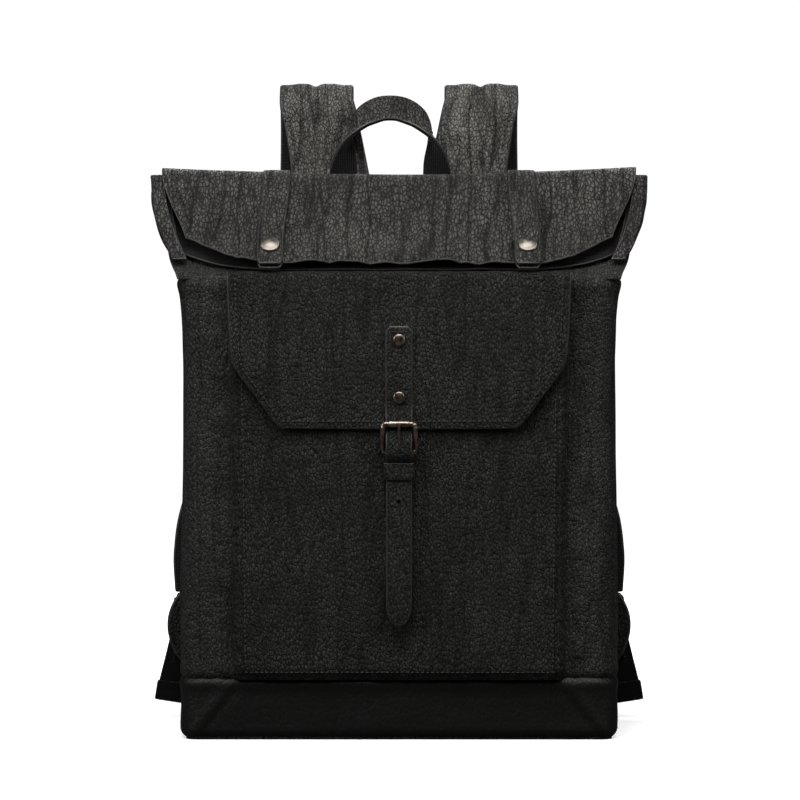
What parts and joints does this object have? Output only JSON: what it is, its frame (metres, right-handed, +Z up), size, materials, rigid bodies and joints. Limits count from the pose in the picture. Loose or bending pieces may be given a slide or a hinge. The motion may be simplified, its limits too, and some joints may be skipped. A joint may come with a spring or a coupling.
{
  "type": "backpack",
  "caption": "Leather backpack with a fold-over roll top held by snap straps, a buckled front flap pocket, a top handle and padded shoulder straps.",
  "frame": {"origin": "middle of the underside of the base, on the surface it stands on", "axes": "+X the right as seen from the front, front faces -Y, +Z up"},
  "size_m": [0.3628, 0.2025, 0.4724],
  "materials": {
    "leather": "pebbled, semi-matte, near black",
    "lining": "matte woven cotton",
    "webbing": "matte woven webbing",
    "foam": "closed-cell foam",
    "board": "pressed board",
    "gunmetal": "dark bronze, satin",
    "nickel": "warm nickel, polished",
    "plastic": "moulded, fine texture"
  },
  "bodies": {
    "body": {"base_band": "leather", "bottom_panel": "leather", "base_board": "board", "front_panel": "leather", "back_panel": "leather", "side_panel_left": "leather", "side_panel_right": "leather", "back_foam": "foam", "main_lining": "lining", "laptop_divider": "lining", "throat_front": "leather", "throat_back": "leather", "throat_gusset_left": "leather", "throat_gusset_right": "leather", "fold_outer": "leather", "closure_strap_base_left": "leather", "closure_strap_base_right": "leather", "pocket_panel": "leather", "pocket_gusset_left": "leather", "pocket_gusset_right": "leather", "pocket_floor": "leather", "magnet_snap_female": "nickel", "strap_yoke": "leather", "shoulder_strap_upper_left": "leather", "shoulder_strap_upper_right": "leather", "anchor_webbing_left": "webbing", "anchor_webbing_right": "webbing", "anchor_tab_left": "leather", "anchor_tab_right": "leather"},
    "roll_top": {"roll_outer": "leather", "roll_inner": "leather", "roll_end_left": "leather", "roll_end_right": "leather", "snap_tab_left": "leather", "snap_tab_right": "leather", "snap_stud_left": "nickel", "snap_stud_right": "nickel"},
    "closure_left": {"closure_strap_left": "leather", "snap_cap_left": "nickel"},
    "closure_right": {"closure_strap_right": "leather", "snap_cap_right": "nickel"},
    "flap": {"pocket_flap": "leather", "flap_strap": "leather", "rivet_upper": "gunmetal", "rivet_lower": "gunmetal", "buckle_frame": "gunmetal", "buckle_tab": "leather", "strap_keeper": "leather", "magnet_snap_male": "nickel"},
    "roller": {"buckle_roller": "gunmetal"},
    "prong": {"buckle_prong": "gunmetal"},
    "tail": {"strap_tail": "leather"},
    "handle": {"handle_leather": "leather", "handle_webbing": "webbing"},
    "shoulder_left": {"shoulder_strap_lower_left": "leather"},
    "shoulder_right": {"shoulder_strap_lower_right": "leather"},
    "adjuster_left": {"strap_slider_left": "plastic", "webbing_tail_left": "webbing"},
    "adjuster_right": {"strap_slider_right": "plastic", "webbing_tail_right": "webbing"}
  },
  "joints": [
    {"name": "roll_top_fold", "type": "hinge", "parent": "body", "child": "roll_top", "pos_m": [0, -0.006, 0.388], "axis": [-1, 0, 0], "range_deg": [0, 98], "deforming": ["fold_outer"]},
    {"name": "closure_strap_left_lift", "type": "hinge", "parent": "roll_top", "child": "closure_left", "pos_m": [-0.092, -0.0234, 0.4023], "axis": [-1, 0, 0], "range_deg": [0, 60]},
    {"name": "closure_strap_right_lift", "type": "hinge", "parent": "roll_top", "child": "closure_right", "pos_m": [0.092, -0.0234, 0.4023], "axis": [-1, 0, 0], "range_deg": [0, 60]},
    {"name": "pocket_flap_lift", "type": "hinge", "parent": "body", "child": "flap", "pos_m": [0, -0.07, 0.331], "axis": [-1, 0, 0], "range_deg": [0, 90]},
    {"name": "buckle_roller_spin", "type": "hinge", "parent": "flap", "child": "roller", "pos_m": [0, -0.0829, 0.2272], "axis": [1, 0, 0], "continuous": true},
    {"name": "buckle_prong_lift", "type": "hinge", "parent": "flap", "child": "prong", "pos_m": [0, -0.0772, 0.2069], "axis": [1, 0, 0], "range_deg": [0, 6]},
    {"name": "strap_tail_lift", "type": "hinge", "parent": "flap", "child": "tail", "pos_m": [0, -0.0779, 0.1873], "axis": [-1, 0, 0], "range_deg": [0, 65]},
    {"name": "top_handle_lean", "type": "hinge", "parent": "body", "child": "handle", "pos_m": [-0.004, 0.0662, 0.339], "axis": [1, 0, 0], "range_deg": [0, 14], "stiffness_Nm_per_rad": 0.15},
    {"name": "shoulder_strap_left_swing", "type": "hinge", "parent": "body", "child": "shoulder_left", "pos_m": [-0.06, 0.0906, 0.455], "axis": [1, 0, 0], "range_deg": [0, 15]},
    {"name": "shoulder_strap_right_swing", "type": "hinge", "parent": "body", "child": "shoulder_right", "pos_m": [0.06, 0.0906, 0.455], "axis": [1, 0, 0], "range_deg": [0, 15]},
    {"name": "strap_adjuster_left_swing", "type": "hinge", "parent": "shoulder_left", "child": "adjuster_left", "pos_m": [-0.143, 0.097, 0.092], "axis": [1, 0, 0], "range_deg": [0, 30]},
    {"name": "strap_adjuster_right_swing", "type": "hinge", "parent": "shoulder_right", "child": "adjuster_right", "pos_m": [0.143, 0.097, 0.092], "axis": [1, 0, 0], "range_deg": [0, 30]}
  ]
}
